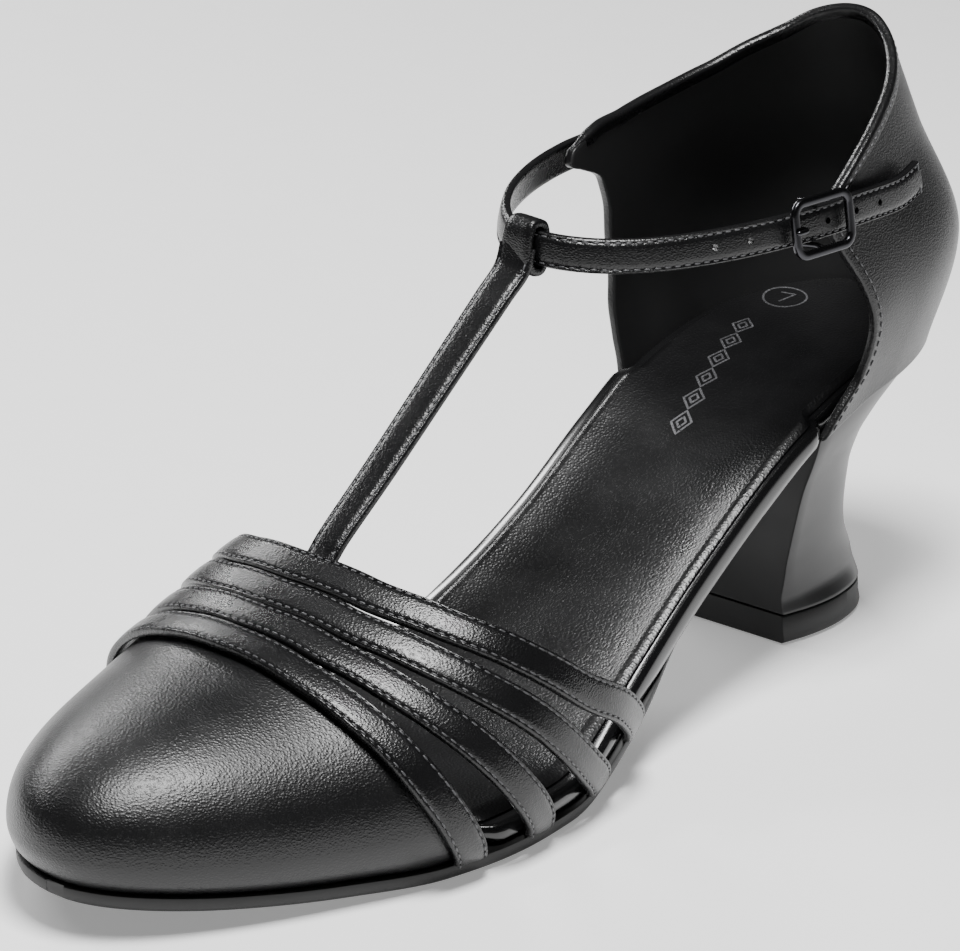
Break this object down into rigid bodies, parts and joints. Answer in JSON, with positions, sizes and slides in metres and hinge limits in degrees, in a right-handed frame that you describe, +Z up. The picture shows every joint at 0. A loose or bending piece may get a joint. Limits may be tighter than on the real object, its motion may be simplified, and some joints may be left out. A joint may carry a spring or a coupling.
{
  "type": "t strap shoe",
  "caption": "Left womens T-strap shoe with closed toe, instep straps, open waist, closed back, ankle strap with side buckle and a flared block heel.",
  "frame": {"origin": "on the floor under the middle of the heel's tip: the flat foot of heel_tip", "axes": "+Z up, +Y towards the back of the heel, so the toe points along -Y, and +X towards the outer side of the foot"},
  "size_m": [0.0866, 0.2355, 0.1144],
  "materials": {
    "upper_leather": "black fine-grained synthetic leather, satin",
    "rand": "black wrapped board edge, glossy",
    "sock": "black pebbled insole sock, satin",
    "sole_leather": "thin black resin sole, matte",
    "heel_cover": "black covered heel, satin",
    "tip_rubber": "black rubber top lift, matte",
    "buckle_metal": "dark gunmetal plating, polished"
  },
  "bodies": {
    "root": {"outsole": "sole_leather", "insole_board": "rand", "insole": "sock", "heel": "heel_cover", "heel_tip": "tip_rubber", "vamp": "upper_leather", "t_strap_and_instep_straps": "upper_leather", "quarter": "upper_leather", "ankle_strap": "upper_leather", "buckle_frame": "buckle_metal", "buckle_prong": "buckle_metal", "buckle_tab": "upper_leather"}
  },
  "joints": []
}
